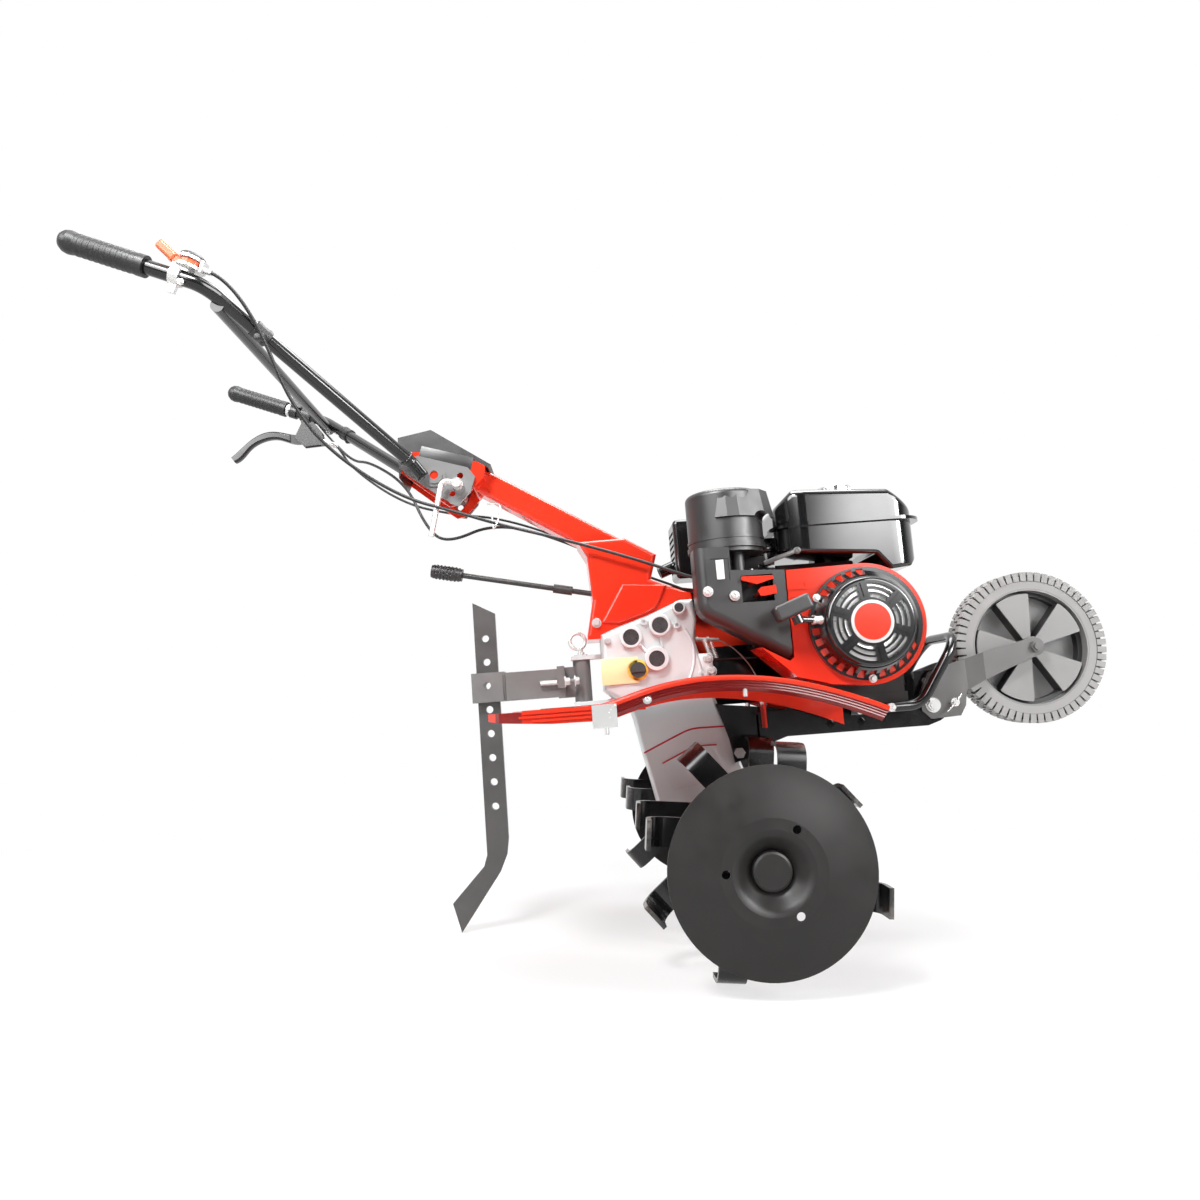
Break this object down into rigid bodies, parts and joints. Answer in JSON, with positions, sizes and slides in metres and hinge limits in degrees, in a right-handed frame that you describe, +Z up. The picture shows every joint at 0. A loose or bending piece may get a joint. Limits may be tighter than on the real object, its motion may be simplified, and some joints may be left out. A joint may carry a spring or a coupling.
{
  "type": "garden tiller",
  "caption": "Walk-behind petrol tiller with tined rotor and side discs, chain case, recoil-start engine, folding transport wheel, drag stake and height-adjustable handlebar.",
  "frame": {"origin": "middle of the bounding box at floor level", "axes": "+X to the transport wheel (front), +Y to the machine's left, +Z up; the picture looks along +Y"},
  "size_m": [1.6011, 0.744, 1.0124],
  "materials": {
    "red_paint": "gloss red paint",
    "black_paint": "satin black paint",
    "cast_alu": "cast aluminium",
    "bright_alu": "brushed aluminium",
    "black_plastic": "black moulded plastic",
    "gloss_black": "gloss black paint",
    "orange_plastic": "orange plastic",
    "red_plastic": "red plastic",
    "grey_plastic": "dark grey plastic",
    "rubber": "black rubber",
    "tyre": "dark grey tread",
    "steel": "bright zinc-plated steel",
    "dark_steel": "plain steel",
    "chrome": "chrome",
    "iron": "cast iron"
  },
  "bodies": {
    "chassis": {"main_frame": "black_paint", "bumper_loop": "black_paint", "gearbox_right": "cast_alu", "gearbox_left": "cast_alu", "chain_case": "bright_alu", "case_plugs": "black_plastic", "handle_column": "red_paint", "dash_cover": "black_plastic", "fender_right": "red_paint", "fender_left": "red_paint", "belt_guard": "red_plastic", "engine_block": "cast_alu", "cylinder_head": "cast_alu", "blower_housing": "red_paint", "recoil_cover": "black_plastic", "fuel_tank": "black_plastic", "carburettor": "cast_alu", "air_elbow": "black_plastic", "air_cleaner_cup": "black_plastic", "muffler": "gloss_black", "drive_belt": "rubber", "throttle_cable": "black_plastic", "left_cables": "black_plastic", "frame_bolts": "steel", "shaft_bearings": "steel", "drive_chain": "dark_steel"},
    "crank": {"crankshaft": "dark_steel", "flywheel": "cast_alu"},
    "starter_grip": {"starter_grip": "black_plastic"},
    "choke_lever": {"choke_lever": "red_plastic"},
    "fuel_lever": {"fuel_lever": "red_plastic"},
    "tank_cap": {"tank_cap": "chrome"},
    "oil_cap": {"oil_cap": "black_plastic"},
    "input": {"input_shaft": "dark_steel", "input_pulley": "cast_alu"},
    "output": {"output_shaft": "dark_steel"},
    "idler": {"idler_arm": "dark_steel"},
    "rotor": {"tine_shaft": "iron", "inner_tines": "black_paint", "outer_tines": "black_paint", "side_discs": "black_paint"},
    "fork": {"wheel_fork": "black_paint"},
    "wheel": {"wheel_rim": "grey_plastic", "wheel_tyre": "tyre"},
    "lock_pin": {"lock_pin": "steel"},
    "hitch_pin": {"hitch_pin": "steel"},
    "drag_arm": {"drag_arm": "black_paint"},
    "drag_stake": {"drag_stake": "black_paint"},
    "shift_rod": {"shift_rod": "black_plastic"},
    "handlebar": {"handle_right": "black_paint", "handle_left": "black_paint", "handle_brace": "black_paint", "grips": "rubber", "throttle_housing": "steel", "clutch_bracket": "black_plastic", "stop_switch": "black_plastic"},
    "throttle_lever": {"throttle_lever": "orange_plastic"},
    "clutch_lever": {"clutch_lever": "black_plastic"},
    "stop_button": {"stop_button": "red_plastic"},
    "lock_lever": {"lock_lever": "steel"}
  },
  "joints": [
    {"name": "handle_height", "type": "hinge", "parent": "chassis", "child": "handlebar", "pos_m": [-0.31696, 0, 0.73401], "axis": [0, 1, 0], "range_deg": [-22.7, 22.7], "deforming": ["throttle_cable", "left_cables"]},
    {"name": "lock_turn", "type": "hinge", "parent": "handlebar", "child": "lock_lever", "pos_m": [-0.2781, 0, 0.71807], "axis": [0, 1, 0], "range_deg": [-40, 40]},
    {"name": "throttle_turn", "type": "hinge", "parent": "handlebar", "child": "throttle_lever", "pos_m": [-0.61896, -0.30157, 0.96761], "axis": [0.3016, 0, 0.9534], "range_deg": [0, 60]},
    {"name": "clutch_squeeze", "type": "hinge", "parent": "handlebar", "child": "clutch_lever", "pos_m": [-0.63941, 0.305, 0.90131], "axis": [0, 1, 0], "range_deg": [0, 16], "stiffness_Nm_per_rad": 2, "springref_deg": -14.32},
    {"name": "stop_press", "type": "slide", "parent": "handlebar", "child": "stop_button", "axis": [0.3016, 0, 0.9534], "range_m": [-0.003, 0], "stiffness_N_per_m": 400, "springref_m": 0.001},
    {"name": "crank_spin", "type": "hinge", "parent": "chassis", "child": "crank", "pos_m": [0.35186, 0, 0.48145], "axis": [0, 1, 0], "continuous": true},
    {"name": "rotor_spin", "type": "hinge", "parent": "chassis", "child": "rotor", "pos_m": [0.16071, 0, 0.1562], "axis": [0, 1, 0], "continuous": true},
    {"name": "output_spin", "type": "hinge", "parent": "chassis", "child": "output", "pos_m": [0.04477, 0, 0.43508], "axis": [0, 1, 0], "continuous": true},
    {"name": "input_spin", "type": "hinge", "parent": "chassis", "child": "input", "pos_m": [0.04996, 0, 0.48883], "axis": [0, 1, 0], "continuous": true},
    {"name": "belt_tension", "type": "hinge", "parent": "chassis", "child": "idler", "pos_m": [0.2904, 0.076, 0.51193], "axis": [0, 1, 0], "range_deg": [-6, 0], "deforming": ["drive_belt"]},
    {"name": "starter_pull", "type": "slide", "parent": "chassis", "child": "starter_grip", "axis": [-0.4097, 0, 0.9122], "range_m": [0, 0.4], "stiffness_N_per_m": 15, "springref_m": -0.3},
    {"name": "choke_turn", "type": "hinge", "parent": "chassis", "child": "choke_lever", "pos_m": [0.1893, -0.12, 0.54945], "axis": [0, 1, 0], "range_deg": [-30, 0]},
    {"name": "fuel_turn", "type": "hinge", "parent": "chassis", "child": "fuel_lever", "pos_m": [0.19863, -0.12, 0.5321], "axis": [0, 1, 0], "range_deg": [0, 25]},
    {"name": "tank_cap_turn", "type": "hinge", "parent": "chassis", "child": "tank_cap", "pos_m": [0.34459, -0.038, 0.71155], "axis": [-0.075, 0, 0.9972], "range_deg": [0, 90]},
    {"name": "oil_cap_turn", "type": "hinge", "parent": "chassis", "child": "oil_cap", "pos_m": [0.01474, -0.06, 0.41699], "axis": [0, 1, 0], "range_deg": [0, 90]},
    {"name": "fork_fold", "type": "hinge", "parent": "chassis", "child": "fork", "pos_m": [0.49024, 0, 0.36149], "axis": [0, 1, 0], "range_deg": [0, 75]},
    {"name": "wheel_spin", "type": "hinge", "parent": "fork", "child": "wheel", "pos_m": [0.67456, 0, 0.45758], "axis": [0, 1, 0], "continuous": true},
    {"name": "lock_pin_pull", "type": "slide", "parent": "fork", "child": "lock_pin", "axis": [0, -1, 0], "range_m": [0, 0.06]},
    {"name": "hitch_pin_lift", "type": "slide", "parent": "chassis", "child": "hitch_pin", "axis": [-0.075, 0, 0.9972], "range_m": [0, 0.05]},
    {"name": "drag_swing", "type": "hinge", "parent": "chassis", "child": "drag_arm", "pos_m": [-0.07318, 0, 0.39935], "axis": [-0.075, 0, 0.9972], "range_deg": [-8, 8]},
    {"name": "stake_height", "type": "slide", "parent": "drag_arm", "child": "drag_stake", "axis": [-0.075, 0, 0.9972], "range_m": [-0.0782, 0.0391]},
    {"name": "shift_slide", "type": "slide", "parent": "chassis", "child": "shift_rod", "axis": [0.9904, 0, -0.1382], "range_m": [-0.02, 0.02]}
  ],
  "couplings": [
    {"joint": "output_spin", "follows": "rotor_spin", "ratio": 2.8},
    {"joint": "input_spin", "follows": "rotor_spin", "ratio": -7.28},
    {"joint": "belt_tension", "follows": "clutch_squeeze", "ratio": -0.375}
  ]
}
